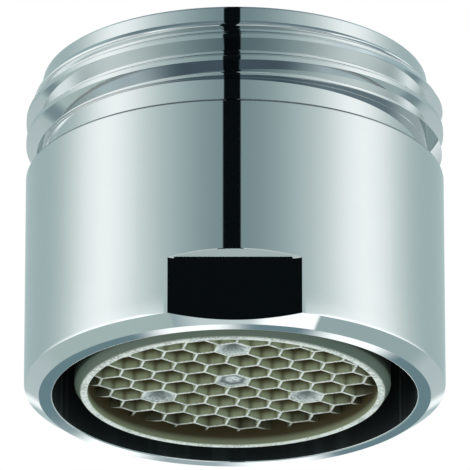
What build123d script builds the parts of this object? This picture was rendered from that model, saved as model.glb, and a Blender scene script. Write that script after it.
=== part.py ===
from build123d import *
import math
import os

# Tap aerator with a male thread: a turned brass housing, the moulded insert that hangs in it and its seal.
# Millimetres. The axis is +Z, the outlet rim stands on z = 0, and the spanner flats face -Y and +Y.
# The thread is a plain cylinder at the crest diameter of M18 x 1.

# Housing, outside, from the outlet up
body_d = 17.9
body_h = 9.95
bevel_w = 0.625
bevel_h = 0.46
flat_depth = 0.45
flats_h = 2.94
flats_ledge_angle = 27.0
neck_h = 1.25
neck_depth = 0.95
thread_h = 1.75
lead_h = 0.85
pilot_h = 0.7
pilot_depth = 0.7

# Housing, inside
body_wall = 1.2
seat_wall = 0.75
seat_depth = 2.2
shoulder_h = 3.0

# Insert sleeve
sleeve_wall = 0.56
collar_w = 0.15
collar_h = 1.9
flange_h = 0.9
ring_lift = 0.18
ring_bevel_w = 0.275
ring_bevel_h = 0.42
recess_ledge_w = 0.26
recess_depth = 2.0
window_count = 6
window_w = 3.0
window_h = 2.0
window_drop = 1.2

# Honeycomb at the outlet
cell_pitch = 1.372
cell_wall = 0.16
comb_recess = 0.57
comb_h = 2.6
comb_turn = 11.0
smallest_cell_share = 0.12

# Mixing grid
grid_h = 0.8
grid_lift = 1.6
grid_rim_w = 0.6
grid_bar_w = 0.5
grid_bar_pitch = 1.35
grid_foot_w = 1.0

# Jet plate
jet_plate_h = 1.0
jet_d = 1.4
jet_inset = 0.8
jet_count = 8

# Filter cap
cap_h = 1.8
cap_wall = 0.5
sieve_hole_w = 0.9
sieve_pitch = 1.45

# Sealing washer
washer_w = 1.8
washer_h = 1.6

# Radial clearances
air_gap = 1.03
seat_gap = 0.1
collar_gap = 0.1
plate_gap = 0.05
grid_gap = 0.12
cap_gap = 0.3

# Heights that follow from the sizes above
neck_top = body_h + neck_h
thread_top = neck_top + thread_h
lead_top = thread_top + lead_h
housing_top = lead_top + pilot_h
seat_z = housing_top - seat_depth
shoulder_z = seat_z - shoulder_h
flange_top = seat_z + flange_h
recess_z = flange_top - recess_depth
jet_plate_top = recess_z + jet_plate_h
cap_top = flange_top + cap_h
collar_z = seat_z - collar_h
window_top = collar_z - window_drop
comb_z = ring_lift + comb_recess
comb_top = comb_z + comb_h
grid_z = comb_top + grid_lift

# Diameters of the housing. The thread's crests are flush with the body, the pilot clears its roots, and the
# neck below it is cut deeper.
rim_d = body_d - 2 * bevel_w
flats_across = body_d - 2 * flat_depth
thread_d = body_d
neck_d = thread_d - 2 * neck_depth
pilot_d = thread_d - 2 * pilot_depth
bore_d = body_d - 2 * body_wall
seat_bore_d = pilot_d - 2 * seat_wall

# Diameters of the pieces inside, each from what it fits into
sleeve_d = bore_d - 2 * air_gap
collar_d = sleeve_d + 2 * collar_w
shoulder_d = collar_d + 2 * collar_gap
flange_d = seat_bore_d - 2 * seat_gap
ring_edge_d = sleeve_d - 2 * ring_bevel_w
ring_inner_d = sleeve_d - 2 * sleeve_wall
grid_d = ring_inner_d - 2 * grid_gap
recess_d = ring_inner_d + 2 * recess_ledge_w
plate_d = recess_d - 2 * plate_gap
washer_inner_d = flange_d - 2 * washer_w
cap_d = washer_inner_d - 2 * cap_gap
sieve_d = cap_d - 2 * cap_wall
jet_ring_d = sieve_d - 2 * jet_inset

# The filled cells: one on the axis, and three round it that carry the grid's feet.
# A cell (a, b) is a steps along a row and b steps along the next lattice direction, 60 degrees on.
centre_cell = (0, 0)
foot_cells = [(2, 1), (-3, 2), (1, -3)]


def turned(outline):
    """Solid of revolution about Z from (radius, height) corners."""
    return revolve(Plane.XZ * make_face(Polyline(*outline, close=True)), Axis.Z)


def disc(diameter, bottom, top):
    """Plain round plate between two heights."""
    return Pos(0, 0, bottom) * extrude(Circle(diameter / 2), top - bottom)


def cell_place(cell):
    """Plan position of a honeycomb cell, with the lattice turned about the axis."""
    a, b = cell
    place = Vector(cell_pitch * (a + b / 2), cell_pitch * b * math.sqrt(3) / 2, 0)
    return place.rotate(Axis.Z, comb_turn)


def flat_cutter(side):
    """Prism that mills one spanner flat, with a sloping ledge at its upper end."""
    inner = flats_across / 2
    outer = body_d
    rise = (outer - inner) * math.tan(math.radians(flats_ledge_angle))
    outline = [(inner, -body_h), (outer, -body_h), (outer, flats_h + rise), (inner, flats_h)]
    face = make_face(Polyline(*[(side * y, z) for y, z in outline], close=True))
    return extrude(Plane.YZ * face, body_d / 2, both=True)


def make_housing():
    """Turned body with thread, undercut, inner shoulder and two milled flats."""
    outline = [
        (bore_d / 2, 0),
        (rim_d / 2, 0),
        (body_d / 2, bevel_h),
        (body_d / 2, body_h),
        (neck_d / 2, body_h),
        (neck_d / 2, neck_top),
        (thread_d / 2, neck_top),
        (thread_d / 2, thread_top),
        (pilot_d / 2, lead_top),
        (pilot_d / 2, housing_top),
        (seat_bore_d / 2, housing_top),
        (seat_bore_d / 2, seat_z),
        (shoulder_d / 2, seat_z),
        (shoulder_d / 2, shoulder_z),
        (bore_d / 2, shoulder_z),
    ]
    return turned(outline) - flat_cutter(-1) - flat_cutter(1)


def honeycomb_cells():
    """Open cells of the honeycomb as plan faces, those at the ring cut by its inner wall."""
    hexagon = RegularPolygon((cell_pitch - cell_wall) / math.sqrt(3), 6, rotation=30 + comb_turn)
    mouth = Circle(ring_inner_d / 2)
    filled = [centre_cell, *foot_cells]
    reach = math.ceil(ring_inner_d / cell_pitch)
    cells = []
    for a in range(-reach, reach + 1):
        for b in range(-reach, reach + 1):
            place = cell_place((a, b))
            if (a, b) in filled or place.length > ring_inner_d / 2 + cell_pitch:
                continue
            cell = Pos(place) * hexagon
            if place.length + cell_pitch > ring_inner_d / 2:
                cell = mouth & cell
            if cell and sum(f.area for f in cell.faces()) > smallest_cell_share * hexagon.area:
                cells.extend(cell.faces())
    return cells


def make_insert_sleeve():
    """Moulded sleeve with its hanging flange, air windows and the honeycomb across the outlet."""
    outline = [
        (ring_edge_d / 2, ring_lift),
        (sleeve_d / 2, ring_lift + ring_bevel_h),
        (sleeve_d / 2, collar_z),
        (collar_d / 2, collar_z),
        (collar_d / 2, seat_z),
        (flange_d / 2, seat_z),
        (flange_d / 2, flange_top),
        (recess_d / 2, flange_top),
        (recess_d / 2, recess_z),
        (ring_inner_d / 2, recess_z),
        (ring_inner_d / 2, comb_top),
        (0, comb_top),
        (0, comb_z),
        (ring_inner_d / 2, comb_z),
        (ring_inner_d / 2, ring_lift),
    ]
    sleeve = turned(outline)
    wall_d = (sleeve_d + ring_inner_d) / 2
    window = Box(sleeve_d - ring_inner_d, window_w, window_h)
    windows = PolarLocations(wall_d / 2, window_count) * window
    sleeve -= [Pos(0, 0, window_top - window_h / 2) * w for w in windows]
    sleeve -= [Pos(0, 0, comb_z) * extrude(cell, comb_h, dir=(0, 0, 1)) for cell in honeycomb_cells()]
    return sleeve


def make_mixing_grid():
    """Round grid of bars in a rim, on three feet that stand on the filled cells."""
    rim_inner_d = grid_d - 2 * grid_rim_w
    bars = Sketch()
    reach = math.floor(rim_inner_d / 2 / grid_bar_pitch)
    for step in range(-reach, reach + 1):
        bars += Pos(step * grid_bar_pitch, 0) * Rectangle(grid_bar_w, grid_d)
    rim = Circle(grid_d / 2) - Circle(rim_inner_d / 2)
    grid = Pos(0, 0, grid_z) * extrude(rim + (bars & Circle(grid_d / 2)), grid_h)
    foot_face = RegularPolygon(grid_foot_w / 2, 6, major_radius=False, rotation=30 + comb_turn)
    foot = Pos(0, 0, comb_top) * extrude(foot_face, grid_lift + grid_h)
    return grid + [Pos(cell_place(c)) * foot for c in foot_cells]


def make_jet_plate():
    """Plate that splits the water into a ring of jets."""
    jets = PolarLocations(jet_ring_d / 2, jet_count) * disc(jet_d, recess_z, jet_plate_top)
    return disc(plate_d, recess_z, jet_plate_top) - jets


def make_filter_cap():
    """Sieve over the jets: a flange, a low wall and a flat top pierced by a square grid of holes."""
    outline = [
        (sieve_d / 2, jet_plate_top),
        (plate_d / 2, jet_plate_top),
        (plate_d / 2, flange_top),
        (cap_d / 2, flange_top),
        (cap_d / 2, cap_top),
        (0, cap_top),
        (0, cap_top - cap_wall),
        (sieve_d / 2, cap_top - cap_wall),
    ]
    reach = sieve_d / 2 - sieve_hole_w / math.sqrt(2)
    rows = 2 * math.ceil(reach / sieve_pitch)
    hole = Pos(0, 0, cap_top - cap_wall) * extrude(Rectangle(sieve_hole_w, sieve_hole_w), cap_wall)
    places = [place for place in GridLocations(sieve_pitch, sieve_pitch, rows, rows)
              if place.position.length < reach]
    return turned(outline) - [place * hole for place in places]


def make_sealing_washer():
    """Flat ring that seals against the spout and holds the insert's flange down."""
    washer_top = flange_top + washer_h
    return disc(flange_d, flange_top, washer_top) - disc(washer_inner_d, flange_top, washer_top)


nodes = {
    "housing": make_housing(),
    "insert_sleeve": make_insert_sleeve(),
    "mixing_grid": make_mixing_grid(),
    "jet_plate": make_jet_plate(),
    "filter_cap": make_filter_cap(),
    "sealing_washer": make_sealing_washer(),
}

os.makedirs("parts", exist_ok=True)
for name, solid in nodes.items():
    export_step(solid, f"parts/{name}.step")
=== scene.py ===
import math

import bpy
import numpy as np
from bpy.props import FloatProperty, FloatVectorProperty, IntProperty, PointerProperty
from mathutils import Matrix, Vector


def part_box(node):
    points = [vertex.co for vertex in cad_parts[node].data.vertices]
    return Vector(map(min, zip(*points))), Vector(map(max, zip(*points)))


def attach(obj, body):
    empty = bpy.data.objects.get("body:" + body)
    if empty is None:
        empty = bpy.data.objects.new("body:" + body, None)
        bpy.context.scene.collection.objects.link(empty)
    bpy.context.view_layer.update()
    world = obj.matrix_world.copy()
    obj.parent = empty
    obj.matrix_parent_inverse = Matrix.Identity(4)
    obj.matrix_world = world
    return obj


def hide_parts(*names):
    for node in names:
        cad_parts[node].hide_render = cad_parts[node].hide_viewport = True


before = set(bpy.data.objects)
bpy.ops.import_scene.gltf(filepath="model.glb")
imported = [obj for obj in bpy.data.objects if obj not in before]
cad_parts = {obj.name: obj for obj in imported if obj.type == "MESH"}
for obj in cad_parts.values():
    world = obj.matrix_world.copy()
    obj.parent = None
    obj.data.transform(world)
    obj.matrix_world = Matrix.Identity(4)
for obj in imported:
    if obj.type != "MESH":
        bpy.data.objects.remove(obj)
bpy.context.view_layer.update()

bl_info = {
    "name": "Tap aerator",
    "version": (1, 0, 0),
    "blender": (4, 5, 0),
    "location": "3D View > Sidebar > Aerator",
    "description": "Builds the looks of a tap aerator: chrome housing, honeycomb outlet, sieve and seal",
    "category": "Object",
}

HOUSING_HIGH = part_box("housing")[1]
SLEEVE_LOW, SLEEVE_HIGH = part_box("insert_sleeve")
WASHER_LOW, WASHER_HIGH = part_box("sealing_washer")

# Meshes are worked out in millimetres
TO_METRES = 0.001
TINY = 1e-9
WELD_STEPS = 1e4

# Rounded corners: the most of a side that an arc may take, and where the point beyond its end lies
ARC_SHARE = 0.42
ARC_SUPPORT = 1.12

# Thread: flanks and fillets of its section, rows on a flank and how far they stay off its ends, turns on each
# side of the crest at the front, curve of the lead-in
FLANK_ANGLE = math.radians(60)
ROOT_FILLET = 0.06
CREST_FILLET = 0.03
FLANK_ROWS = 10
FLANK_INSETS = (0.05, 0.04)
THREAD_TURNS = 4
FRONT_TURN = 0.75
LEAD_POWER = 1.35
LEAD_BLEND_START = 0.15
LEAST_BLEND = 0.02

# Polished strip above the bevel: how fast it fades towards a flat, and how far it leans in
STRIP_FADE = 0.12
STRIP_LEAN = 0.16

# Depth to which the chrome reaches into each end of the bore, and what the bore's wall may be out by
PLATED_DEPTH = 0.1
BORE_TOLERANCE = 0.002

# Honeycomb: the cells that carry the grid's feet, points across a cell to find its open share, how far the
# walls reach into the ring, height and rounding of their thin edge, rows along them
FOOT_CELLS = np.array([(2, 1), (-3, 2), (1, -3)])
CELL_POINTS = 61
LEAST_SHARE = 0.005
WALL_BITE = 0.18
WALL_TAPER = 0.4
WALL_EDGE = 0.045
WALL_SHARES = np.array([0.0, 0.07, 0.2, 0.5, 0.8, 0.93, 1.0])

# Filled cells: overlap with the walls, height of the face above their edges, rows from the middle out
PLUG_OVERLAP = 0.035
PLUG_RISE = 0.035
PLUG_INSET = 0.05
PLUG_COLUMNS = 48
PLUG_SHARES = np.array([0, 0.12, 0.22, 0.26, 0.3, 0.4, 0.5, 0.6, 0.7, 0.8, 0.88, 0.94, 0.98, 1.0, 1.0, 0.0])
BOSS_HEIGHT = 0.03
BOSS_RADIUS = 0.3
BOSS_SLOPE = 0.08
# Painted shade of the dimples: middle and spread of the dark ring round the boss, power of a plain dimple's
# dark middle
BOSS_DISH = (0.66, 0.2)
DISH_POWER = 1.3

# Painted shade of the outlet plastic: depth of what lies far in, how fast depth grows on the ring's two faces,
# how far these are off its inner radius, and the painted shade of the walls: its reach from the ring, its run,
# more at the back
FAR_IN = 2.0
RING_OUTER_DEPTH = 0.6
RING_INNER_DEPTH = 1.1
RING_INNER_SHADE = 0.4
RING_WALLS = (0.005, 0.3)
SHADE_REACH = 1.4
SHADE_RUN = 1.1
BACK_SHADE = 0.6
BACK_RUN = 4.0

# Mesh columns of the rings and pillars, and how far a pillar reaches into the rings
RING_COLUMNS = 240
FLANGE_COLUMNS = 160
WASHER_COLUMNS = 180
PILLAR_COLUMNS = 24
PILLAR_OVERLAP = 0.01

# Stage, in metres
FLOOR_HALF = 2.0
FLOOR_DROP = 0.00002
SENSOR_WIDTH = 36.0
CLIP = (0.01, 20.0)

# Tones of the studio, as light by channel
TONES = {
    "strip": (1.75, 1.75, 1.75),
    "wall behind": (1.25, 1.28, 1.28),
    "dimmed": (0.70, 0.70, 0.72),
    "cooled": (0.92, 1.0, 1.03),
    "ceiling in front": (0.14, 0.19, 0.235),
    "ceiling": (0.29, 0.37, 0.41),
    "flag": (0.12, 0.15, 0.17),
    "low right": (0.30, 0.37, 0.42),
    "low left": (1.3, 1.25, 1.24),
    "under left": (0.58, 0.70, 0.68),
    "under right": (0.47, 0.585, 0.595),
    "under front": (0.85, 0.87, 0.86),
    "side panel": (0.25, 0.34, 0.37),
    "slate": (0.20, 0.31, 0.345),
    "far slate": (0.47, 0.57, 0.60),
    "rays": (1.6, 1.6, 1.6),
    "card": (0.004, 0.006, 0.007),
    "box left": (0.38, 0.50, 0.53),
    "box middle": (0.84, 0.93, 0.93),
    "plain white": (1.0, 1.0, 1.0),
}

# Reflections of the outlet rim: spread across and fore, height of their middle, and the turns of the rays
RIM_ACROSS = 0.0487
RIM_FORE = -0.0723
RIM_MIDDLE = 0.361
RIM_RAYS = (-13.0, 39.0)
CARD_BLUR = 0.004

# Painted shadow line along the body's top edge, in metres about its height: start, full from, full to, end
PAINTED_SHADOW_LINE = (-0.00012, -0.00006, 0.00002, 0.00006)

# Painted highlights in the bore, as bright upright streaks: turn from the front, half width in degrees,
# strength
PAINTED_BORE_HIGHLIGHTS = ((114.0, 0.9, 1.0), (-107.0, 2.0, 0.45), (-112.0, 1.2, 0.3))


def setting(kind, **fixed):
    """A short call that makes one kind of setting from its name, description and default."""
    return lambda name, description, default, **more: kind(
        name=name, description=description, default=default, **fixed, **more)


length = setting(FloatProperty, min=0.0, unit="LENGTH", precision=5)
place = setting(FloatVectorProperty, unit="LENGTH")
angle = setting(FloatProperty, subtype="ANGLE")
factor = setting(FloatProperty, min=0.0, max=1.0, subtype="FACTOR")
colour = setting(FloatVectorProperty, size=3, min=0.0, max=4.0, subtype="COLOR")
count = setting(IntProperty)


class HousingSizes(bpy.types.PropertyGroup):
    """Sizes of the turned housing, heights measured from the outlet rim."""
    body_radius: length("Body radius", "Plain body and thread crests", HOUSING_HIGH.x)
    body_top: length("Body height", "Top of the plain body", 0.00995)
    bevel_top: length("Bevel height", "Top of the bevel at the outlet", 0.00046)
    rim_radius: length("Rim radius", "Outer edge of the outlet rim", 0.008325)
    rim_rise: length("Rim rise", "Outer edge of the rim above its inner edge", 0.00002)
    bore_radius: length("Bore radius", "Inside of the body", 0.00775)
    flat_distance: length("Flat distance", "From the axis to a spanner flat", 0.0085)
    flat_top: length("Flat height", "Top of a spanner flat", 0.00294)
    ledge_angle: angle("Ledge angle", "Slope of the ledge above a flat", math.radians(27.0))
    neck_radius: length("Neck radius", "Undercut below the thread", 0.00825)
    shoulder_rise: length("Shoulder rise", "Rise of the body's top face to the neck", 0.00022)
    neck_top: length("Neck height", "Where the thread starts", 0.011215)
    thread_top: length("Thread height", "Where the lead-in cone starts", 0.01295)
    lead_top: length("Lead-in height", "Where the lead-in cone ends", 0.0138)
    pilot_radius: length("Pilot radius", "Top of the plain end above the thread", 0.00825)
    pilot_foot: length("Pilot foot radius", "Foot of the plain end", 0.00832)
    lead_blend: length("Lead-in blend", "Softness of the lead-in's edge", 0.00028)
    top: length("Housing height", "Top of the pilot", HOUSING_HIGH.z)
    thread_pitch: length("Thread pitch", "Rise of the thread in one turn", 0.001)
    thread_depth: length("Thread depth", "From crest to root", 0.00058)
    crest_width: length("Crest width", "Flat on the thread's crest", 0.0002)
    crest_at_front: length("Crest at the front", "Middle of the crest at the front", 0.01283)
    shoulder_radius: length("Shoulder radius", "Shoulder that carries the insert", 0.00697)
    shoulder_low: length("Shoulder underside", "Lower face of the shoulder", 0.0093)
    seat: length("Seat height", "Upper face of the shoulder", 0.0123)
    seat_radius: length("Seat radius", "Inside of the seat bore", 0.0075)
    edge_radius: length("Edge radius", "Rounding of the turned and milled edges", 0.00006)
    bore_edge: length("Bore edge", "Rounding of the rim's inner edge", 0.00005)
    worn_edge: length("Polished edge", "Height of the polished strip above the bevel", 0.00011)
    side_columns: count("Side columns", "Mesh columns on each rounded side", 126, min=24, max=400)
    flat_columns: count("Flat columns", "Mesh columns on each flat", 32, min=8, max=200)


class OutletSizes(bpy.types.PropertyGroup):
    """Sizes of the insert sleeve and its honeycomb, heights measured from the outlet rim."""
    ring_low: length("Ring edge", "Lower edge of the ring", SLEEVE_LOW.z)
    edge_radius: length("Edge radius", "Outer corner of the ring's lower edge", 0.006445)
    bevel_top: length("Ring bevel", "Where the ring's bevel meets the sleeve", 0.0006)
    sleeve_radius: length("Sleeve radius", "Outside of the sleeve", 0.00672)
    inner_radius: length("Inner radius", "Inside of the sleeve", 0.00616)
    window_low: length("Window sill", "Lower edge of the air windows", 0.0072)
    window_top: length("Window head", "Upper edge of the air windows", 0.0092)
    window_width: length("Window width", "Width of an air window", 0.003)
    windows: count("Windows", "Air windows round the sleeve", 6, min=2, max=24)
    collar_low: length("Collar edge", "Lower edge of the collar", 0.0104)
    collar_radius: length("Collar radius", "Outside of the collar", 0.00687)
    flange_low: length("Flange underside", "Where the flange sits on the shoulder", 0.0123)
    flange_radius: length("Flange radius", "Outside of the flange", SLEEVE_HIGH.x)
    flange_top: length("Flange top", "Top of the flange", SLEEVE_HIGH.z)
    recess_radius: length("Recess radius", "Recess that holds the jet plate", 0.00642)
    recess_low: length("Recess floor", "Floor of that recess", 0.0112)
    comb_low: length("Honeycomb edge", "Lower edges of the honeycomb", 0.00075)
    comb_top: length("Honeycomb top", "Upper edges of the honeycomb", 0.00335)
    cell_pitch: length("Cell pitch", "Distance between the middles of two cells", 0.001372)
    cell_wall: length("Cell wall", "Thickness of a cell wall", 0.00016)
    strut_rise: length("Strut rise", "Rise of a wall's lower edge at the ring", 0.00015)
    edge_wall: length("Cell edge", "Thickness of a cell wall at its lower edge", 0.000105)
    comb_turn: angle("Honeycomb turn", "Turn of the honeycomb about the axis", math.radians(11.0))
    smallest_cell: factor("Smallest cell", "Share of a cell below which the ring closes it", 0.12)
    dimple_depth: length("Dimple depth", "Hollow in the lower face of a filled cell", 0.0002)
    play: place("Play", "How far the insert hangs off the axis", (-0.00009, 0.00003), size=2)


class SealSizes(bpy.types.PropertyGroup):
    """Sizes of the washer on top."""
    outer_radius: length("Washer radius", "Outside of the washer", WASHER_HIGH.x)
    inner_radius: length("Washer hole", "Radius of the washer's hole", 0.0056)
    low: length("Washer underside", "Lower face of the washer", WASHER_LOW.z)
    top: length("Washer top", "Upper face of the washer", WASHER_HIGH.z)
    edge_radius: length("Washer edge", "Rounding of the washer's edges", 0.00018)


class Finishes(bpy.types.PropertyGroup):
    """Colours of the finishes, and of the painted shade on the outlet plastic."""
    chrome: colour("Chrome", "Tint of the chrome plating", (0.60, 0.64, 0.645))
    bore: colour("Bore", "Unplated inside of the housing", (0.046, 0.056, 0.058))
    frosted: colour("Frosted edge", "Lower edges of the outlet plastic", (0.97, 1.0, 0.93))
    wall: colour("Cell wall", "Outlet plastic inside the cells", (0.61, 0.68, 0.44))
    # Painted shade: the colour that the outlet plastic darkens to further in, at corners and near the ring
    deep_shade: colour("Deep wall", "Outlet plastic further in", (0.13, 0.103, 0.045))
    # Painted shade: dark outside of the ring, where it lies in the gap under the housing
    ring: colour("Ring wall", "Outside of the ring", (0.178, 0.24, 0.185))
    plug: colour("Filled cell", "Lower face of a filled cell", (0.86, 0.92, 0.90))
    # Painted shade: dark middle of a filled cell's dimple
    dish: colour("Dimple", "Middle of a filled cell's dimple", (0.10, 0.125, 0.115))
    inner: colour("Inner plastic", "Mixing grid and jet plate", (0.45, 0.46, 0.40))
    filter: colour("Filter plastic", "Sieve on top", (0.66, 0.68, 0.65))
    rubber: colour("Rubber", "Sealing washer", (0.018, 0.018, 0.019))


class StageSettings(bpy.types.PropertyGroup):
    """Camera and light."""
    view_angle: angle("View angle", "How far below the object the camera looks up from", math.radians(22.37))
    distance: length("Camera distance", "From the camera to the middle of the picture", 0.358)
    aim: place("Aim", "Point in the middle of the picture", (0.0000085, -0.0001009, 0.007405))
    lens: FloatProperty(name="Lens", description="Focal length", default=641.6, min=1.0, unit="CAMERA")
    floor: colour("Floor", "Colour of the floor", (0.80, 0.80, 0.80))
    floor_glow: factor("Floor glow", "Light that the floor gives to the camera", 0.34)
    front_light: colour("Front light", "Dim studio light in front", (0.30, 0.40, 0.42))
    room_light: colour("Room light", "Even light round the sides and the back", (0.50, 0.62, 0.625))
    box_light: colour("Side boxes", "Light of the two soft boxes at the sides", (0.86, 0.76, 0.74))
    box_azimuth: angle("Side box azimuth", "Turn of each side box from the front", math.radians(76.0))
    box_width: angle("Side box width", "Spread of each side box", math.radians(19.7))
    card_width: angle("Card width", "Half the turn of the walls that show the dark card", math.radians(2.38))
    card_azimuth: angle("Card azimuth", "Turn of the wall that shows its middle", math.radians(-0.8))
    dusk_light: colour("Low light", "Dim light just below the horizon, in front", (0.11, 0.16, 0.20))
    back_light: colour("Back light", "Light just below the horizon, behind", (0.66, 0.75, 0.76))
    below_light: colour("Light below", "Soft box under the outlet", (1.66, 1.64, 1.64))


# Meshes


def grid_quads(rows, columns, wrap):
    """Faces of a grid of points stored row by row. With wrap, the last column joins the first."""
    across = np.arange(columns if wrap else columns - 1)
    down = np.arange(rows - 1)[:, None] * columns
    here = down + across
    right = down + (across + 1) % columns
    return np.stack([here, here + columns, right + columns, right], axis=-1).reshape(-1, 4)


def repeated_quads(copies, rows, columns, wrap):
    """Faces of several grids of the same size, stored one after the other."""
    starts = np.arange(copies)[:, None, None] * rows * columns
    return (starts + grid_quads(rows, columns, wrap)).reshape(-1, 4)


def norm(vectors):
    """Length of each vector."""
    return np.linalg.norm(vectors, axis=-1)


def weld(points, quads):
    """Joins points that coincide to a tenth of a micrometre and drops the faces that this closes up."""
    keys = np.round(points * WELD_STEPS).astype(np.int64)
    _, first, joined = np.unique(keys, axis=0, return_index=True, return_inverse=True)
    quads = joined.reshape(-1)[quads]
    same = quads == np.roll(quads, -1, axis=1)
    pairs = same.sum(axis=1)
    whole = quads[pairs == 0]
    whole = whole[(whole[:, 0] != whole[:, 2]) & (whole[:, 1] != whole[:, 3])]
    pinched = quads[pairs == 1]
    corner = same[pairs == 1].argmax(axis=1)[:, None]
    triangles = np.take_along_axis(pinched, (corner + np.array([1, 2, 3])) % 4, axis=1)
    triangles = triangles[(triangles[:, 0] != triangles[:, 2])]
    return first, whole, triangles


def outward(points, quads):
    """Turns a closed shell's faces outwards.

    The sum of a . (b x c) over the shell's triangles is six times its volume, negative if they face inwards.
    """
    a, b, c, d = (points[quads[:, i]] for i in range(4))
    volume = (a * np.cross(b, c)).sum() + (a * np.cross(c, d)).sum()
    return quads if volume > 0 else quads[:, ::-1]


def join_shells(shells):
    """Puts closed shells, each points, faces and values per point, into one set of arrays."""
    points = np.concatenate([s[0] for s in shells])
    starts = np.cumsum([0] + [len(s[0]) for s in shells[:-1]])
    quads = np.concatenate([outward(s[0], s[1]) + start for s, start in zip(shells, starts)])
    values = {key: np.concatenate([np.broadcast_to(s[2].get(key, 0.0), len(s[0])) for s in shells])
              for key in {k for s in shells for k in s[2]}}
    return points, quads, values


def build_piece(name, points, quads, node, values=None, sharp=15.0):
    """Makes a welded mesh from points in millimetres, smooth up to the sharp angle, in a node's place."""
    first, whole, triangles = weld(points, quads)
    mesh = bpy.data.meshes.new(name)
    mesh.from_pydata((points[first] * TO_METRES).tolist(), [], whole.tolist() + triangles.tolist())
    for key, value in (values or {}).items():
        mesh.attributes.new(key, "FLOAT", "POINT").data.foreach_set("value", value[first].astype(np.float32))
    mesh.update()
    if mesh.validate():
        raise RuntimeError(f"{name} has broken faces")
    mesh.polygons.foreach_set("use_smooth", np.ones(len(mesh.polygons), bool))
    mesh.set_sharp_from_angle(angle=math.radians(sharp))
    piece = bpy.data.objects.new(name, mesh)
    bpy.context.scene.collection.objects.link(piece)
    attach(piece, "root")
    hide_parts(node)
    return piece


def rounded(corners, radii, steps):
    """Polyline with its corners rounded, each by its own radius and number of points.

    corners is (corner, column, 2). A corner's arc starts where the two sides are a tangent length away, which
    is the radius over the tangent of half the corner's angle, or less where a side is short. The arc's points
    turn evenly from the first side to the second. One more point on each side keeps its shading flat.
    """
    rows = [corners[:1]]
    for i in range(1, len(corners) - 1):
        here = corners[i]
        if radii[i] == 0:
            rows.append(here[None])
            continue
        before, after = corners[i - 1] - here, corners[i + 1] - here
        reach = np.stack([norm(before), norm(after)])
        before = before / np.maximum(reach[0], TINY)[:, None]
        after = after / np.maximum(reach[1], TINY)[:, None]
        half = 0.5 * np.arccos(np.clip((before * after).sum(axis=-1), -1.0, 1.0))
        half = np.clip(half, 1e-3, math.pi / 2 - 1e-4)
        tangent = np.minimum(radii[i] / np.tan(half), ARC_SHARE * reach.min(axis=0))
        turn = math.pi - 2 * half
        middle = before + after
        middle = middle / np.maximum(norm(middle), TINY)[:, None]
        centre = here + middle * (tangent / np.cos(half))[:, None]
        start, end = here + before * tangent[:, None], here + after * tangent[:, None]
        share = np.linspace(0.0, 1.0, steps[i])[:, None]
        weight = np.sin(np.stack([(1 - share) * turn, share * turn])) / np.sin(turn)
        arc = centre + weight[0][..., None] * (start - centre) + weight[1][..., None] * (end - centre)
        support = ARC_SUPPORT * tangent[:, None]
        rows += [(here + before * support)[None], arc, (here + after * support)[None]]
    return np.concatenate(rows + [corners[-1:]])


def turned(profile, angles):
    """Points of a surface of revolution: row (r, z) of the profile at each angle is (r cos, r sin, z)."""
    r, z = (np.broadcast_to(profile[..., i], (len(profile), len(angles))) for i in range(2))
    return np.stack([r * np.cos(angles), r * np.sin(angles), z], axis=-1).reshape(-1, 3)


def turned_ring(corners, columns, steps=8):
    """Closed ring from the corners of its section, each a radius, a height and a rounding."""
    section = np.array(corners + corners[:1], float)
    profile = rounded(section[:, None, :2], section[:, 2], [steps] * len(section))
    angles = np.linspace(0.0, 2 * math.pi, columns, endpoint=False)
    return turned(profile, angles), grid_quads(len(profile), columns, True)


def millimetres(sizes):
    """The sizes of a property group as plain numbers in millimetres, angles and counts as they are."""
    kept = {}
    for key, item in sizes.bl_rna.properties.items():
        if item.type in {"FLOAT", "INT"} and not getattr(item, "is_array", False):
            value = getattr(sizes, key)
            kept[key] = value * 1000 if item.unit == "LENGTH" else value
    return type("Sizes", (), kept)


def thread_section(s):
    """One turn of the thread's section: heights from the crest's middle and radii, from root to root.

    The crest is flat, the flanks fall at 60 degrees to the axis, and the corners are rounded, apart from the
    lower one of the crest.
    """
    crest, root = s.body_radius, s.body_radius - s.thread_depth
    half_crest = s.crest_width / 2
    half_pitch = s.thread_pitch / 2
    foot = half_crest + s.thread_depth / math.tan(FLANK_ANGLE)
    corners = np.array([(-half_pitch, root), (-foot, root), (-half_crest, crest), (half_crest, crest),
                        (foot, root), (half_pitch, root)], float)[:, None]
    fillets = [0, ROOT_FILLET, 0, CREST_FILLET, ROOT_FILLET, 0]
    outline = rounded(corners, fillets, [7] * len(corners))[:, 0]
    flank = np.linspace(half_crest + FLANK_INSETS[0], foot - FLANK_INSETS[1], FLANK_ROWS)
    heights = np.unique(np.round(np.concatenate([outline[:, 0], flank, -flank]), 6))
    return heights, np.interp(heights, outline[:, 0], outline[:, 1])


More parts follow.
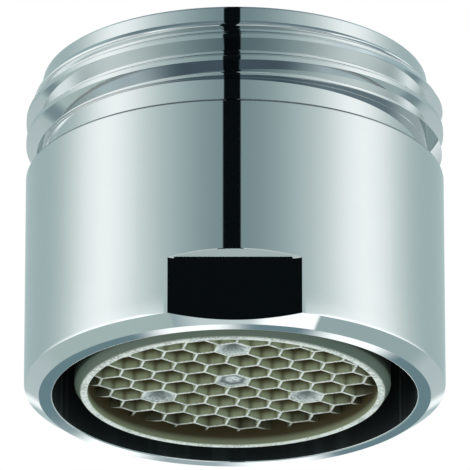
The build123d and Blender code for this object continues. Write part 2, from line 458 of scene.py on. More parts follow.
def thread_points(s, angles):
    """Rows of the thread, from the lead-in down to the undercut.

    Each row follows the helix z = crest at the front + pitch * turn + height in the section, held between the
    undercut and the top of the lead-in. The radius is the section's. In the lead-in it is the smaller of the
    section's and of one that falls from the crest's to the pilot's foot with a power of the share of the
    height, blended where the two meet.
    """
    heights, radii = thread_section(s)
    helix = s.crest_at_front + s.thread_pitch * (angles / (2 * math.pi) - FRONT_TURN)
    turns = np.arange(-THREAD_TURNS, THREAD_TURNS + 1) * s.thread_pitch
    rows = np.unique(np.round((turns[:, None] + heights[:-1]).reshape(-1), 6))[::-1]
    z = np.clip(helix + rows[:, None], s.neck_top, s.lead_top)
    used = (np.diff(z, axis=0) != 0).any(axis=1)
    z = z[np.concatenate([used, [False]]) | np.concatenate([[False], used])]
    phase = (z - helix + s.thread_pitch / 2) % s.thread_pitch - s.thread_pitch / 2
    r = np.interp(phase, heights, radii)
    share = np.clip((z - s.thread_top) / (s.lead_top - s.thread_top), 0.0, 1.0)
    lead = s.body_radius - share**LEAD_POWER * (s.body_radius - s.pilot_foot)
    blend = s.lead_blend * np.clip(share / LEAD_BLEND_START, LEAST_BLEND, 1.0)
    near = np.clip(0.5 + (lead - r) / (2 * blend), 0.0, 1.0)
    r = np.where(share > 0, near * r + (1 - near) * lead - blend * near * (1 - near), r)
    return np.stack([r, z], axis=-1)


def housing_profile(s, angles, thread_foot):
    """Rows of the housing, from the thread's foot down the outside, round the rim and up the bore.

    At each angle the profile is a polyline of corners. Where a flat lies, the corners of its ledge and of its
    lower edge are where the line at that angle meets the flat's plane, so the radius is distance / sine.
    """
    sine = np.maximum(np.abs(np.sin(angles)), 1e-6)
    flat_r = np.minimum(s.flat_distance / sine, s.body_radius)
    ledge_top = s.flat_top + (s.body_radius * sine - s.flat_distance) * math.tan(s.ledge_angle)
    ledge_top = np.where(flat_r < s.body_radius, ledge_top, s.flat_top)
    slope = (s.bevel_top - s.rim_rise) / (s.body_radius - s.rim_radius)
    flat_low = s.rim_rise + (flat_r - s.rim_radius) * slope
    clear = np.abs(np.cos(angles)) - math.cos(math.asin(s.flat_distance / s.body_radius))
    strip = s.worn_edge * np.clip(clear / STRIP_FADE, 0.0, 1.0) ** 2
    strip_r = flat_r - STRIP_LEAN * strip
    strip_low = s.rim_rise + (strip_r - s.rim_radius) * slope
    radius, e = s.body_radius, s.edge_radius
    # Radius, height, rounding and points of each corner
    corners = [
        (thread_foot, s.neck_top, 0, 1),
        (s.neck_radius, s.neck_top, 0.02, 3),
        (s.neck_radius, s.body_top + s.shoulder_rise, 0.04, 3),
        (radius, s.body_top, 2.6 * e, 11),
        (radius, ledge_top, 0.5 * e, 2),
        (flat_r, s.flat_top, 1.2 * e, 2),
        (flat_r, flat_low + strip, 0, 1),
        (strip_r, strip_low, 0, 1),
        (s.rim_radius, s.rim_rise, 0.7 * e, 6),
        (s.bore_radius, 0.0, s.bore_edge, 9),
        (s.bore_radius, s.shoulder_low, 0, 1),
        (s.shoulder_radius, s.shoulder_low, 0, 1),
        (s.shoulder_radius, s.seat, 0, 1),
        (s.seat_radius, s.seat, 0, 1),
        (s.seat_radius, s.top, 0.05, 6),
        (s.pilot_radius, s.top, 0.12, 10),
        (s.pilot_foot, s.lead_top, 0, 1),
    ]
    full = np.array([[np.broadcast_to(v, angles.shape) for v in corner[:2]] for corner in corners])
    return rounded(full.transpose(0, 2, 1), [c[2] for c in corners], [c[3] for c in corners])


def housing_angles(s):
    """Angles of the housing's columns, from one edge of a flat to the next, with a column on each edge."""
    edge = math.asin(s.flat_distance / s.body_radius)
    marks = [-edge, edge, math.pi - edge, math.pi + edge, 2 * math.pi - edge]
    counts = [s.side_columns, s.flat_columns, s.side_columns, s.flat_columns]
    return np.concatenate([np.linspace(a, b, n, endpoint=False) for a, b, n in zip(marks, marks[1:], counts)])


def cell_places(s, reach):
    """Plan of the honeycomb: every cell (a, b) within reach, as lattice numbers and middles."""
    most = math.ceil(reach / s.cell_pitch) + 1
    a, b = (n.reshape(-1) for n in np.meshgrid(np.arange(-most, most + 1), np.arange(-most, most + 1)))
    x, y = s.cell_pitch * (a + b / 2), s.cell_pitch * b * math.sqrt(3) / 2
    c, t = math.cos(s.comb_turn), math.sin(s.comb_turn)
    middles = np.stack([x * c - y * t, x * t + y * c], axis=-1)
    near = norm(middles) < reach
    return np.stack([a, b], axis=-1)[near], middles[near]


def comb_edges(s, hold):
    """Edges of the lattice within the ring: start, way, size, and whether it ends at the radius hold."""
    _, middles = cell_places(s, s.inner_radius + 2 * s.cell_pitch)
    out = s.comb_turn + np.radians([60.0, 120.0, 180.0])
    side = np.stack([np.cos(out), np.sin(out)], axis=-1)
    along = np.stack([-np.sin(out), np.cos(out)], axis=-1)
    half = s.cell_pitch / math.sqrt(3) / 2
    centre = middles[:, None] + side * s.cell_pitch / 2
    first = (centre - along * half).reshape(-1, 2)
    last = (centre + along * half).reshape(-1, 2)
    far_first = norm(first) > s.inner_radius
    far_last = norm(last) > s.inner_radius
    first, last = np.where(far_first[:, None], last, first), np.where(far_first[:, None], first, last)
    keep = ~(far_first & far_last)
    cut = (far_first | far_last)[keep]
    first, last = first[keep], last[keep]
    way = last - first
    size = norm(way)
    way = way / size[:, None]
    lean = (first * way).sum(axis=-1)
    to_ring = -lean + np.sqrt(lean**2 - (first**2).sum(axis=-1) + hold**2)
    return first, way, np.where(cut, to_ring, size), cut


def comb_walls(s, hold):
    """Walls of the honeycomb, each a rounded blade carried along one edge of the lattice.

    Where three blades meet, a point at offset u from the edge's line starts |u| tan 30 further in, so that
    they close on each other. A blade that ends in the ring has its lower edge raised by the square of the
    share of its length. The painted shade grows with the square of how near the ring is, and sooner at the
    back.
    """
    first, way, size, cut = comb_edges(s, hold)
    across = np.stack([-way[:, 1], way[:, 0]], axis=-1)
    h, thin = s.cell_wall / 2, s.edge_wall / 2
    low, top, full = s.comb_low, s.comb_top, s.comb_low + WALL_TAPER
    section = np.array([(0.0, top), (-h, top), (-h, full), (-thin, low), (0.0, low), (thin, low), (h, full),
                        (h, top), (0.0, top)], float)[:, None]
    section = rounded(section, [0, 0, 0, WALL_EDGE, 0, WALL_EDGE, 0, 0, 0], [5] * len(section))[:, 0]
    u, z = section[:, 0], section[:, 1]
    share = WALL_SHARES
    mitre = np.abs(u) * math.tan(math.radians(30))
    start = np.broadcast_to(mitre, (len(size), len(u)))
    end = size[:, None] - np.where(cut[:, None], 0.0, mitre)
    run = start[:, None] + share[None, :, None] * (end - start)[:, None]
    plan = (first[:, None, None] + way[:, None, None] * run[..., None]
            + across[:, None, None] * u[None, None, :, None])
    rise = np.where(cut[:, None], s.strut_rise * share**2, 0.0)[:, :, None] * ((top - z) / (top - low))
    height = z + rise
    points = np.concatenate([plan, height[..., None]], axis=-1)
    # Painted shade: the corner value is low at the blade ends and darkens the walls at the cell corners
    corner = np.broadcast_to(np.minimum(share, 1 - share)[None, :, None], height.shape)
    behind = 1.0 + BACK_SHADE * np.clip(plan[..., 1] / BACK_RUN, 0.0, 1.0)
    shade = np.clip(behind * (norm(plan) - hold + SHADE_REACH) / SHADE_RUN, 0.0, 1.0) ** 2
    values = {"depth": (height - low).reshape(-1), "corner": corner.reshape(-1), "shade": shade.reshape(-1)}
    return points.reshape(-1, 3), repeated_quads(len(size), len(share), len(u), False), values


def comb_plugs(s, middles, hold, dimple, boss):
    """Filled cells, each a six-sided prism whose lower face has a round dimple.

    Its rim is the hexagon's radius at each angle, apothem / cos(angle from the nearest side), held within the
    ring. The face at share t of the way out is raised by dimple * (1 - t^2)^2, less a low boss in the middle.
    The dish shade value, painted shade in the dimple, is a power of 1 - t^2, or a bell curve round the boss.
    """
    turn = np.linspace(0.0, 2 * math.pi, PLUG_COLUMNS, endpoint=False)
    apothem = (s.cell_pitch - s.cell_wall) / 2 + PLUG_OVERLAP
    rho = apothem / np.cos((turn - s.comb_turn + math.pi / 6) % (math.pi / 3) - math.pi / 6)
    rim = middles[:, None] + rho[None, :, None] * np.stack([np.cos(turn), np.sin(turn)], axis=-1)
    rim = rim * np.minimum(1.0, hold / norm(rim))[..., None]
    far = np.maximum(norm(middles), TINY)
    middles = middles * np.minimum(1.0, (hold - PLUG_INSET) / far)[:, None]
    share = PLUG_SHARES
    lift = dimple * (1 - share**2) ** 2 - boss * np.clip((BOSS_RADIUS - share) / BOSS_SLOPE, 0, 1)
    z = s.comb_low + PLUG_RISE + lift
    z[-2:] = s.comb_top
    plan = middles[:, None, None] + share[None, :, None, None] * (rim - middles[:, None])[:, None]
    ring, spread = BOSS_DISH
    dish = np.exp(-(((share - ring) / spread) ** 2)) if boss else (1 - share**2) ** DISH_POWER
    face = (z < s.comb_top).astype(float)
    height, dish, face = (np.broadcast_to(v[None, :, None], plan.shape[:-1]) for v in (z, dish, face))
    points = np.concatenate([plan, height[..., None]], axis=-1).reshape(-1, 3)
    values = {"depth": points[:, 2] - s.comb_low, "corner": 1.0, "dish": dish.reshape(-1),
              "plug": face.reshape(-1) if dimple else 0.0}
    return points, repeated_quads(len(middles), len(share), len(turn), True), values


def open_share(s, middles):
    """Share of each cell that lies within the ring, from points spread over a hexagon."""
    grid = np.linspace(-1.0, 1.0, CELL_POINTS) * s.cell_pitch / math.sqrt(3)
    x, y = (n.reshape(-1) for n in np.meshgrid(grid, grid))
    facing = s.comb_turn + np.radians([0.0, 60.0, 120.0])
    inside = (np.abs(x[:, None] * np.cos(facing) + y[:, None] * np.sin(facing))
              < (s.cell_pitch - s.cell_wall) / 2).all(axis=1)
    spread = np.stack([x, y], axis=-1)[inside]
    far = norm(middles[:, None] + spread)
    return (far < s.inner_radius).mean(axis=1)


def sleeve_pillars(s):
    """Pillars between the air windows: a four-cornered section carried along an arc from window to window."""
    half = math.asin(s.window_width / (s.sleeve_radius + s.inner_radius))
    step = 2 * math.pi / s.windows
    arc = np.linspace(half, step - half, PILLAR_COLUMNS)
    low, top = s.window_low - PILLAR_OVERLAP, s.window_top + PILLAR_OVERLAP
    inner, outer = s.inner_radius, s.sleeve_radius
    section = np.array([(inner, low), (outer, low), (outer, top), (inner, top), (inner, low)], float)
    ends = np.broadcast_to(np.array([(inner + outer) / 2, (low + top) / 2]), section.shape)
    rows = np.concatenate([ends[None], np.broadcast_to(section, (len(arc),) + section.shape), ends[None]])
    at = np.concatenate([arc[:1], arc, arc[-1:]])
    turn = at[None, :, None] + (np.arange(s.windows) * step)[:, None, None]
    r, z = (np.broadcast_to(rows[..., i], (s.windows,) + rows.shape[:2]) for i in range(2))
    points = np.stack([r * np.cos(turn), r * np.sin(turn), z], axis=-1).reshape(-1, 3)
    return points, repeated_quads(s.windows, len(rows), len(section), False)


# Materials


class Wiring:
    """Short calls that add and link shader nodes in one tree."""

    def __init__(self, tree):
        self.tree = tree
        self.count = 0

    def add(self, kind, values=None, **settings):
        """Adds a node, sets its settings and feeds its inputs by name or number."""
        node = self.tree.nodes.new(kind)
        node.location = (220 * (self.count % 9), -260 * (self.count // 9))
        self.count += 1
        for key, value in settings.items():
            setattr(node, key, value)
        for key, value in (values or {}).items():
            self.feed(node.inputs[key], value)
        return node

    def feed(self, socket, value):
        """Links a socket, or sets its value."""
        if isinstance(value, bpy.types.NodeSocket):
            self.tree.links.new(value, socket)
        elif socket.type == "RGBA":
            socket.default_value = (*value, 1.0)
        else:
            socket.default_value = value

    def math(self, operation, *inputs):
        """One Math node's result."""
        return self.add("ShaderNodeMath", dict(enumerate(inputs)), operation=operation).outputs[0]

    def times(self, first, second):
        """Product of two values."""
        return self.math("MULTIPLY", first, second)

    def smooth(self, value, low, high):
        """0 up to low, 1 from high on, smooth between. With low above high it falls."""
        return self.add("ShaderNodeMapRange", {"Value": value, "From Min": low, "From Max": high},
                        interpolation_type="SMOOTHSTEP").outputs["Result"]

    def steps(self, *limits):
        """Product of smooth steps, each a value, where it is 0 and where it is 1."""
        share = self.smooth(*limits[0])
        for limit in limits[1:]:
            share = self.times(share, self.smooth(*limit))
        return share

    def mix(self, share, first, second, blend="MIX"):
        """Mix of two colours."""
        return self.add("ShaderNodeMix", {0: share, 6: first, 7: second}, data_type="RGBA",
                        blend_type=blend).outputs[2]

    def lay(self, first, second, *limits, blend="MIX"):
        """The second colour laid over the first within the limits."""
        return self.mix(self.steps(*limits), first, second, blend)

    def toward(self, direction, vector, inner, outer):
        """1 where a direction is within the inner angle of a vector, 0 beyond the outer angle."""
        cosine = self.add("ShaderNodeVectorMath", {0: direction, 1: tuple(Vector(vector).normalized())},
                          operation="DOT_PRODUCT").outputs["Value"]
        return self.smooth(cosine, math.cos(math.radians(outer)), math.cos(math.radians(inner)))

    def object_place(self):
        """The object's own coordinates."""
        return self.add("ShaderNodeTexCoord").outputs["Object"]

    def noise(self, vector, scale, detail, roughness=0.5):
        """Noise from 0 to 1."""
        return self.add("ShaderNodeTexNoise", {"Vector": vector, "Scale": scale, "Detail": detail,
                                               "Roughness": roughness}).outputs["Fac"]

    def stretched_noise(self, vector, scale):
        """Noise with a scale for each axis."""
        wide = self.add("ShaderNodeMapping", {"Vector": vector, "Scale": scale}).outputs["Vector"]
        return self.noise(wide, 1.0, 2.0)


def new_group(name, inputs, outputs):
    """A shader node group of numbers: the group, its wiring, what comes in and what goes out."""
    group = bpy.data.node_groups.new(name, "ShaderNodeTree")
    for key, value in inputs.items():
        group.interface.new_socket(key, in_out="INPUT", socket_type="NodeSocketFloat").default_value = value
    for key in outputs:
        group.interface.new_socket(key, in_out="OUTPUT", socket_type="NodeSocketFloat")
    w = Wiring(group)
    return group, w, w.add("NodeGroupInput").outputs, w.add("NodeGroupOutput").inputs


def grain_group():
    """Fine moulded or sanded grain: a mask from 0 to 1 and a height, from two sizes of noise."""
    group, w, given, result = new_group("surface_grain", {"Scale": 4000.0}, ("Mask", "Height"))
    here = w.object_place()
    fine = w.noise(here, given["Scale"], 3.0, 0.6)
    wide = w.noise(here, w.times(given["Scale"], 0.13), 2.0)
    both = w.math("ADD", w.times(fine, 0.65), w.times(wide, 0.35))
    w.feed(result["Mask"], w.smooth(both, 0.32, 0.68))
    w.feed(result["Height"], both)
    return group


def depth_group():
    """Painted shade of moulded plastic by how far in from its lower edge a point lies: a frosted and a deep
    share.
    """
    group, w, given, result = new_group("depth_from_edge", {"Frosted to": 0.08, "Deep from": 0.3},
                                        ("Frosted", "Deep"))
    depth = w.add("ShaderNodeAttribute", attribute_name="depth").outputs["Fac"]
    w.feed(result["Frosted"], w.math("SUBTRACT", 1.0, w.smooth(depth, 0.0, given["Frosted to"])))
    w.feed(result["Deep"], w.smooth(depth, given["Deep from"], w.times(given["Deep from"], 4.0)))
    return group


def new_material(name):
    """An empty material with a Principled shader, and its wiring."""
    material = bpy.data.materials.new(name)
    material.use_nodes = True
    material.node_tree.nodes.clear()
    w = Wiring(material.node_tree)
    shader = w.add("ShaderNodeBsdfPrincipled")
    w.feed(w.add("ShaderNodeOutputMaterial").inputs["Surface"], shader.outputs["BSDF"])
    return material, w, shader


def shared(w, name, make, **values):
    """A shared node group, built the first time it is asked for and placed in a material."""
    group = bpy.data.node_groups.get(name) or make()
    node = w.add("ShaderNodeGroup", node_tree=group)
    for key, value in values.items():
        node.inputs[key.replace("_", " ").capitalize()].default_value = value
    return node


def grain(w, scale):
    """The shared grain, placed in a material."""
    return shared(w, "surface_grain", grain_group, scale=scale)


def scaled(tint, share):
    """A colour, lighter or darker."""
    return tuple(share * c for c in tint)


def bumped(w, shader, height, strength, distance=0.00002):
    """Gives a shader a bump from a height."""
    bump = w.add("ShaderNodeBump", {"Strength": strength, "Distance": distance, "Height": height})
    w.feed(shader.inputs["Normal"], bump.outputs["Normal"])


def roughened(w, shader, base, mask, more):
    """Gives a shader a base roughness, and more of it where a mask is 1."""
    w.feed(shader.inputs["Roughness"], w.math("MULTIPLY_ADD", mask, more, base))


def chrome_material(f, edge):
    """Polished chrome on turned brass: faint haze and turning lines, and a painted shadow line at the edge's
    height.
    """
    material, w, shader = new_material("chrome")
    haze = grain(w, 900.0)
    here = w.object_place()
    lines = w.stretched_noise(here, (40.0, 40.0, 9000.0))
    tint = w.mix(haze.outputs["Mask"], scaled(f.chrome, 0.985), f.chrome)
    height = w.add("ShaderNodeSeparateXYZ", {0: here}).outputs[2]
    # Painted shadow: a band of darker chrome colour along the body's top edge
    start, full, last, end = (edge + off for off in PAINTED_SHADOW_LINE)
    shadow_line = ((height, start, full), (height, end, last))
    w.feed(shader.inputs["Base Color"], w.lay(tint, scaled(f.chrome, 0.42), *shadow_line))
    shader.inputs["Metallic"].default_value = 1.0
    roughened(w, shader, w.times(lines, 0.03), haze.outputs["Mask"], 0.02)
    bumped(w, shader, lines, 0.02)
    return material


def bore_material(f):
    """Bare inside of the housing, nearly black, with faint upright streaks and a few bright streaks that are
    painted highlights.
    """
    material, w, shader = new_material("bore")
    here = w.object_place()
    streak = w.stretched_noise(here, (900.0, 900.0, 60.0))
    split = w.add("ShaderNodeSeparateXYZ", {0: here})
    around = w.math("ARCTAN2", split.outputs[0], w.times(split.outputs[1], -1.0))
    mask = w.times(w.smooth(streak, 0.5, 0.66), 0.12)
    # Painted highlights: a few bright upright streaks at set turns, lighter colour standing in for reflections
    for degrees, width, strength in PAINTED_BORE_HIGHLIGHTS:
        off = w.math("ABSOLUTE", w.math("SUBTRACT", around, math.radians(degrees)))
        line = w.smooth(off, math.radians(width), math.radians(0.3 * width))
        mask = w.math("MAXIMUM", mask, w.times(line, strength))
    w.feed(shader.inputs["Base Color"], w.mix(mask, f.bore, scaled(f.bore, 6.0)))
    shader.inputs["Metallic"].default_value = 0.8
    roughened(w, shader, 0.5, mask, -0.2)
    return material


def outlet_material(f):
    """Outlet plastic: frosted pale along its lower edges, olive inside the cells, and painted shade, dark
    brown, further in.
    """
    material, w, shader = new_material("outlet_plastic")
    fine = grain(w, 14000.0)
    depth = shared(w, "depth_from_edge", depth_group, frosted_to=0.055, deep_from=0.12)
    corner, plug, dish, outside, shade = (w.add("ShaderNodeAttribute", attribute_name=name).outputs["Fac"]
                                          for name in ("corner", "plug", "dish", "outside", "shade"))
    # Painted shade: the olive walls darken to dark brown further in from the lower edge
    wall = w.mix(depth.outputs["Deep"], f.wall, f.deep_shade)
    # Painted shade: the walls are darker at the cell corners, where they meet
    wall = w.mix(w.smooth(corner, 0.0, 0.3), w.mix(0.5, wall, f.deep_shade), wall)
    # Painted shade: the ring's outside is dark, and darker further up
    wall = w.mix(outside, wall, w.mix(depth.outputs["Deep"], f.ring, scaled(f.ring, 0.2)))
    # Painted shade: darker near the ring, sooner at the back, and on the ring's inner face
    wall = w.mix(w.times(shade, 0.85), wall, scaled(f.deep_shade, 0.3))
    spots = w.smooth(grain(w, 9000.0).outputs["Mask"], 0.15, 0.6)
    speckle = w.mix(spots, scaled(f.frosted, 0.6), f.frosted)
    # Painted shade: the frosted edges darken near the ring too
    speckle = w.mix(w.times(shade, 0.45), speckle, f.deep_shade)
    tint = w.mix(depth.outputs["Frosted"], wall, speckle)
    # Painted shade: the dimple of a filled cell darkens towards its middle
    pale = w.mix(dish, f.plug, f.dish)
    cloudy = w.mix(spots, w.mix(0.6, pale, f.dish), pale)
    w.feed(shader.inputs["Base Color"], w.mix(plug, tint, cloudy))
    roughened(w, shader, 0.32, fine.outputs["Mask"], 0.2)
    bumped(w, shader, fine.outputs["Height"], 0.25)
    return material


def plastic_material(name, tint, scale):
    """Moulded plastic with a fine grain and slight clouding."""
    material, w, shader = new_material(name)
    fine = grain(w, scale)
    w.feed(shader.inputs["Base Color"], w.mix(fine.outputs["Mask"], scaled(tint, 0.88), tint))
    roughened(w, shader, 0.3, fine.outputs["Mask"], 0.16)
    bumped(w, shader, fine.outputs["Height"], 0.15)
    return material


def rubber_material(f):
    """Black rubber, matt, with a dusty bloom."""
    material, w, shader = new_material("rubber")
    bloom = grain(w, 5000.0)
    w.feed(shader.inputs["Base Color"], w.mix(bloom.outputs["Mask"], f.rubber, scaled(f.rubber, 2.2)))
    roughened(w, shader, 0.55, bloom.outputs["Mask"], 0.2)
    bumped(w, shader, bloom.outputs["Height"], 0.3, 0.00003)
    return material


def floor_material(stage):
    """Floor that only the camera sees, from above: part glow and part plain paint, which takes the shadow."""
    material, w, shader = new_material("floor")
    path = w.add("ShaderNodeLightPath").outputs["Is Camera Ray"]
    front = w.math("SUBTRACT", 1.0, w.add("ShaderNodeNewGeometry").outputs["Backfacing"])
    w.feed(shader.inputs["Base Color"], stage.floor)
    shader.inputs["Roughness"].default_value = 0.9
    w.feed(shader.inputs["Emission Color"], TONES["plain white"])
    shader.inputs["Emission Strength"].default_value = stage.floor_glow
    clear = w.add("ShaderNodeBsdfTransparent")
    shown = w.add("ShaderNodeMixShader", {0: w.times(path, front), 1: clear.outputs[0], 2: shader.outputs[0]})
    w.feed(material.node_tree.nodes["Material Output"].inputs["Surface"], shown.outputs[0])
    return material


def studio_world(stage):
    """Soft studio light by direction, white for the camera.

    Round the horizon the light is dim in front and even at the sides and the back, with a bell curve of light
    at each side box. The rest is laid over it in turn: panels above the horizon, panels below it, what the
    outlet rim shows, the dark card in front and the soft box under the outlet.
    """
    world = bpy.data.worlds.new("studio")
    world.use_nodes = True
    world.node_tree.nodes.clear()
    w = Wiring(world.node_tree)
    direction = w.add("ShaderNodeTexCoord").outputs["Generated"]
    split = w.add("ShaderNodeSeparateXYZ", {0: direction})
    x, y, z = (split.outputs[i] for i in range(3))
    azimuth = w.math("DEGREES", w.math("ARCTAN2", x, w.times(y, -1.0)))
    turn, aside = w.math("ABSOLUTE", azimuth), w.math("ABSOLUTE", x)
    light = w.lay(stage.front_light, stage.room_light, (turn, 3, 42))
    off = w.math("SUBTRACT", turn, math.degrees(stage.box_azimuth))
    off = w.math("DIVIDE", off, math.degrees(stage.box_width))
    bell = w.math("POWER", math.e, w.times(w.times(off, off), -0.5))
    light = w.mix(bell, light, stage.box_light, "ADD")

    # Above the horizon: the side boxes' lower edge, the wall behind, and a dark ceiling with a flag behind it
    light = w.lay(light, TONES["strip"], (z, 0.30, 0.16), (turn, 24, 46), (turn, 138, 116))
    light = w.lay(light, TONES["wall behind"], (turn, 128, 146), (z, 0.12, 0.02))
    light = w.lay(light, TONES["dimmed"], (z, 0.52, 0.66), (y, 0.1, -0.15), blend="MULTIPLY")
    light = w.lay(light, TONES["cooled"], (z, 0.52, 0.66), blend="MULTIPLY")
    ceiling = w.lay(TONES["ceiling in front"], TONES["ceiling"], (y, -0.42, -0.25))
    light = w.lay(light, ceiling, (z, 0.74, 0.86))
    light = w.mix(w.toward(direction, (0.0, 0.79, 0.61), 8, 14), light, TONES["flag"])

    # Below it: a dim band, light at the left and behind, lighter panels further down and one at each side
    low = w.lay(stage.dusk_light, TONES["low right"], (azimuth, 25, 60))
    low = w.lay(low, TONES["low left"], (azimuth, -24, -85))
    low = w.lay(low, stage.back_light, (turn, 100, 125))
    light = w.lay(light, low, (z, 0.0, -0.09))
    under = w.lay(TONES["under left"], TONES["under right"], (x, -0.5, 0.2))
    light = w.lay(light, under, (z, -0.42, -0.56))
    light = w.lay(light, TONES["under front"], (z, -0.46, -0.58), (y, -0.15, -0.35))
    mirrored = w.add("ShaderNodeCombineXYZ", {0: aside, 1: y, 2: z}).outputs[0]
    light = w.mix(w.toward(mirrored, (0.46, 0.66, -0.60), 1.0, 7.0), light, TONES["side panel"])

    # What the rim shows, on a plane where its point at a turn from the front is (sine, cosine): slate, paler
    # at the far side, with light rays and a light middle
    across, fore = w.math("DIVIDE", x, RIM_ACROSS), w.math("DIVIDE", w.math("ADD", z, RIM_MIDDLE), RIM_FORE)
    away = w.math("SQRT", w.math("ADD", w.times(across, across), w.times(fore, fore)))
    rays = 0.0
    for degrees in RIM_RAYS:
        c, s = math.cos(math.radians(degrees)), math.sin(math.radians(degrees))
        off = w.math("SUBTRACT", w.times(across, c), w.times(fore, s))
        off = w.math("ABSOLUTE", w.math("DIVIDE", off, w.math("MAXIMUM", away, 0.001)))
        rays = w.math("MAXIMUM", rays, w.smooth(off, 0.34, 0.10))
    centre = w.times(w.smooth(away, 0.45, 0.3), 0.65)
    rays = w.math("MAXIMUM", w.times(rays, w.smooth(away, 0.35, 0.6)), centre)
    lean = w.math("MULTIPLY_ADD", across, 0.4, fore)
    slate = w.lay(TONES["slate"], TONES["far slate"], (lean, -0.6, -0.95))
    rim = w.mix(rays, slate, TONES["rays"])
    light = w.lay(light, rim, (aside, 0.20, 0.15), (y, 0.55, 0.66), (z, 0.0, -0.06))

    # The card, placed by the turn of the wall that shows it, and once more over the soft box's front
    facing = w.math("DIVIDE", x, w.math("MAXIMUM", w.math("SUBTRACT", math.cos(stage.view_angle), y), 0.02))
    flank = w.steps((z, 0.70, 0.75), (y, -0.2, -0.4))
    facing = w.math("SUBTRACT", facing, w.times(flank, 0.0157))
    off = w.math("ABSOLUTE", w.math("SUBTRACT", facing, stage.card_azimuth))
    card = w.smooth(off, stage.card_width + CARD_BLUR, stage.card_width - CARD_BLUR)
    front = w.steps((z, -0.90, -0.80), (y, 0.2, 0.0))
    beneath = w.steps((z, -0.88, -0.93), (y, 0.03, 0.06))
    shown = w.math("MAXIMUM", w.math("MAXIMUM", front, w.smooth(z, 0.3, 0.4)), beneath)
    light = w.mix(w.times(card, shown), light, TONES["card"])
    below = w.lay(TONES["box left"], TONES["box middle"], (x, -0.33, -0.16))
    below = w.lay(below, stage.below_light, (x, 0.06, 0.17))
    light = w.mix(w.toward(direction, (0.064, -0.2, -0.975), 23.9, 25.3), light, below)
    light = w.mix(w.times(card, w.smooth(y, -0.24, -0.30)), light, TONES["card"])

    lit = w.add("ShaderNodeBackground", {"Color": light, "Strength": 1.0})
    plain = w.add("ShaderNodeBackground", {"Color": TONES["plain white"], "Strength": 1.0})
    seen = w.add("ShaderNodeMixShader", {0: w.add("ShaderNodeLightPath").outputs["Is Camera Ray"],
                                         1: lit.outputs[0], 2: plain.outputs[0]})
    w.feed(w.add("ShaderNodeOutputWorld").inputs["Surface"], seen.outputs[0])
    return world


# Operators


class AERATOR_OT_stage(bpy.types.Operator):
    """Set up the floor, the studio light and the camera"""
    bl_idname = "aerator.make_stage"
    bl_label = "Stage"

    def execute(self, context):
        stage = context.scene.aerator_stage
        context.scene.view_settings.view_transform = "Standard"
        context.scene.world = studio_world(stage)
        corners = np.array([(-1, -1), (1, -1), (1, 1), (-1, 1)]) * FLOOR_HALF
        mesh = bpy.data.meshes.new("floor")
        mesh.from_pydata([(x, y, -FLOOR_DROP) for x, y in corners.tolist()], [], [(0, 1, 2, 3)])
        mesh.materials.append(floor_material(stage))
        floor = bpy.data.objects.new("floor", mesh)
        context.scene.collection.objects.link(floor)
        lens = bpy.data.cameras.new("camera")
        lens.lens = stage.lens
        lens.sensor_width = SENSOR_WIDTH
        lens.clip_start, lens.clip_end = CLIP
        camera = bpy.data.objects.new("camera", lens)
        ahead = Vector((0.0, math.cos(stage.view_angle), math.sin(stage.view_angle)))
        camera.location = Vector(stage.aim) - stage.distance * ahead
        camera.rotation_euler = (math.pi / 2 + stage.view_angle, 0.0, 0.0)
        context.scene.collection.objects.link(camera)
        context.scene.camera = camera
        return {"FINISHED"}


class AERATOR_OT_housing(bpy.types.Operator):
    """Build the chrome housing with its thread, flats and rim"""
    bl_idname = "aerator.make_housing"
    bl_label = "Housing"

    def execute(self, context):
        sizes, finishes = context.scene.aerator_housing, context.scene.aerator_finishes
        s = millimetres(sizes)
        angles = housing_angles(s)
        whole_turn = np.append(angles, angles[0] + 2 * math.pi)
        thread = thread_points(s, whole_turn)
        body = housing_profile(s, angles, thread[-1, :-1, 0])
        points = np.concatenate([turned(body, angles), turned(thread, whole_turn)])
        quads = np.concatenate([grid_quads(len(body), len(angles), True),
                                len(body) * len(angles) + grid_quads(len(thread), len(whole_turn), False)])
        piece = build_piece("housing_looks", points, outward(points, quads), "housing")
        piece.data.materials.append(chrome_material(finishes, sizes.body_top))
        piece.data.materials.append(bore_material(finishes))
        middle = np.empty(len(piece.data.polygons) * 3, np.float32)
        piece.data.polygons.foreach_get("center", middle)
        x, y, z = middle.reshape(-1, 3).T / TO_METRES
        inside = np.hypot(x, y) < s.bore_radius + BORE_TOLERANCE
        bare = inside & (z > PLATED_DEPTH) & (z < s.top - PLATED_DEPTH)
        piece.data.polygons.foreach_set("material_index", bare.astype(np.int32))
        piece.data.update()
        return {"FINISHED"}


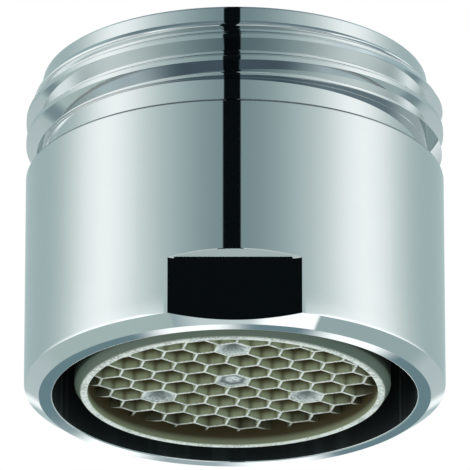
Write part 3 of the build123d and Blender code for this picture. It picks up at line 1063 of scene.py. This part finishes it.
class AERATOR_OT_insert_sleeve(bpy.types.Operator):
    """Build the insert sleeve with the honeycomb across the outlet"""
    bl_idname = "aerator.make_insert_sleeve"
    bl_label = "Insert sleeve"

    def execute(self, context):
        s = millimetres(context.scene.aerator_outlet)
        hold = s.inner_radius + WALL_BITE
        ring, ring_quads = turned_ring([
            (s.inner_radius, s.window_low, 0), (s.inner_radius, s.ring_low, 0.06),
            (s.edge_radius, s.ring_low, 0.09), (s.sleeve_radius, s.bevel_top, 0.12),
            (s.sleeve_radius, s.window_low, 0)], RING_COLUMNS)
        flange = turned_ring([
            (s.inner_radius, s.window_top, 0), (s.sleeve_radius, s.window_top, 0),
            (s.sleeve_radius, s.collar_low, 0), (s.collar_radius, s.collar_low, 0),
            (s.collar_radius, s.flange_low, 0), (s.flange_radius, s.flange_low, 0.05),
            (s.flange_radius, s.flange_top, 0.08), (s.recess_radius, s.flange_top, 0.05),
            (s.recess_radius, s.recess_low, 0), (s.inner_radius, s.recess_low, 0)], FLANGE_COLUMNS)
        radius = np.hypot(ring[:, 0], ring[:, 1])
        off = radius - s.inner_radius
        inside, outside = off < RING_WALLS[0], off > RING_WALLS[1]
        # Painted shade: depth, and so the shade, grows at its own rate on each face of the ring, and the inner
        # face gets painted shade of its own
        growth = np.where(outside, RING_OUTER_DEPTH, np.where(inside, RING_INNER_DEPTH, 1.0))
        ring_values = {"depth": (ring[:, 2] - s.ring_low) * growth, "corner": 1.0,
                       "outside": outside.astype(float), "shade": np.where(inside, RING_INNER_SHADE, 0.0)}
        # Painted shade: parts that lie far in take the full dark brown
        hidden = {"depth": FAR_IN, "corner": 1.0}
        shells = [(ring, ring_quads, ring_values), (*flange, hidden), (*sleeve_pillars(s), hidden),
                  comb_walls(s, hold)]

        cells, middles = cell_places(s, s.inner_radius + s.cell_pitch)
        share = open_share(s, middles)
        centre = (cells == 0).all(axis=1)
        feet = (cells[:, None] == FOOT_CELLS).all(axis=-1).any(axis=1)
        closed = (share > LEAST_SHARE) & (share < s.smallest_cell)
        for chosen, dimple, boss in ((centre, 0.5 * s.dimple_depth, BOSS_HEIGHT), (feet, s.dimple_depth, 0.0),
                                     (closed, 0.0, 0.0)):
            shells.append(comb_plugs(s, middles[chosen], hold, dimple, boss))
        points, quads, values = join_shells(shells)
        points[:, :2] += np.array(context.scene.aerator_outlet.play) * 1000
        piece = build_piece("insert_sleeve_looks", points, quads, "insert_sleeve", values,
                            30.0)
        piece.data.materials.append(outlet_material(context.scene.aerator_finishes))
        return {"FINISHED"}


class AERATOR_OT_inner_parts(bpy.types.Operator):
    """Finish the mixing grid, the jet plate and the filter cap"""
    bl_idname = "aerator.finish_inner_parts"
    bl_label = "Grid, jets and filter"

    def execute(self, context):
        finishes = context.scene.aerator_finishes
        inner = plastic_material("inner_plastic", finishes.inner, 7000.0)
        sieve = plastic_material("filter_plastic", finishes.filter, 6000.0)
        for node, material in (("mixing_grid", inner), ("jet_plate", inner), ("filter_cap", sieve)):
            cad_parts[node].material_slots[0].material = material
        return {"FINISHED"}


class AERATOR_OT_sealing_washer(bpy.types.Operator):
    """Build the rubber washer with rounded edges"""
    bl_idname = "aerator.make_sealing_washer"
    bl_label = "Sealing washer"

    def execute(self, context):
        s = millimetres(context.scene.aerator_seal)
        e = s.edge_radius
        points, quads = turned_ring([
            (s.inner_radius, (s.low + s.top) / 2, 0), (s.inner_radius, s.low, e), (s.outer_radius, s.low, e),
            (s.outer_radius, s.top, e), (s.inner_radius, s.top, e)], WASHER_COLUMNS)
        piece = build_piece("sealing_washer_looks", points, outward(points, quads), "sealing_washer")
        piece.data.materials.append(rubber_material(context.scene.aerator_finishes))
        return {"FINISHED"}


class AERATOR_PT_panel(bpy.types.Panel):
    """Steps and settings of the aerator"""
    bl_idname = "AERATOR_PT_panel"
    bl_label = "Tap aerator"
    bl_space_type = "VIEW_3D"
    bl_region_type = "UI"
    bl_category = "Aerator"

    def draw(self, context):
        for step in STEPS:
            self.layout.operator(step.bl_idname)
        for name, group in GROUPS.items():
            box = self.layout.box()
            box.label(text=name.replace("aerator_", "").capitalize())
            settings = getattr(context.scene, name)
            for key in group.__annotations__:
                box.prop(settings, key)


GROUPS = {
    "aerator_housing": HousingSizes,
    "aerator_outlet": OutletSizes,
    "aerator_seal": SealSizes,
    "aerator_finishes": Finishes,
    "aerator_stage": StageSettings,
}
STEPS = (AERATOR_OT_stage, AERATOR_OT_housing, AERATOR_OT_insert_sleeve, AERATOR_OT_inner_parts,
         AERATOR_OT_sealing_washer)


def register():
    for kind in (*GROUPS.values(), *STEPS, AERATOR_PT_panel):
        bpy.utils.register_class(kind)
    for name, group in GROUPS.items():
        setattr(bpy.types.Scene, name, PointerProperty(type=group))


def unregister():
    for name in GROUPS:
        delattr(bpy.types.Scene, name)
    for kind in reversed((*GROUPS.values(), *STEPS, AERATOR_PT_panel)):
        bpy.utils.unregister_class(kind)


def main():
    """Registers the add-on and runs its steps."""
    register()
    bpy.ops.aerator.make_stage()
    bpy.ops.aerator.make_housing()
    bpy.ops.aerator.make_insert_sleeve()
    bpy.ops.aerator.finish_inner_parts()
    bpy.ops.aerator.make_sealing_washer()


if __name__ == "__main__":
    main()
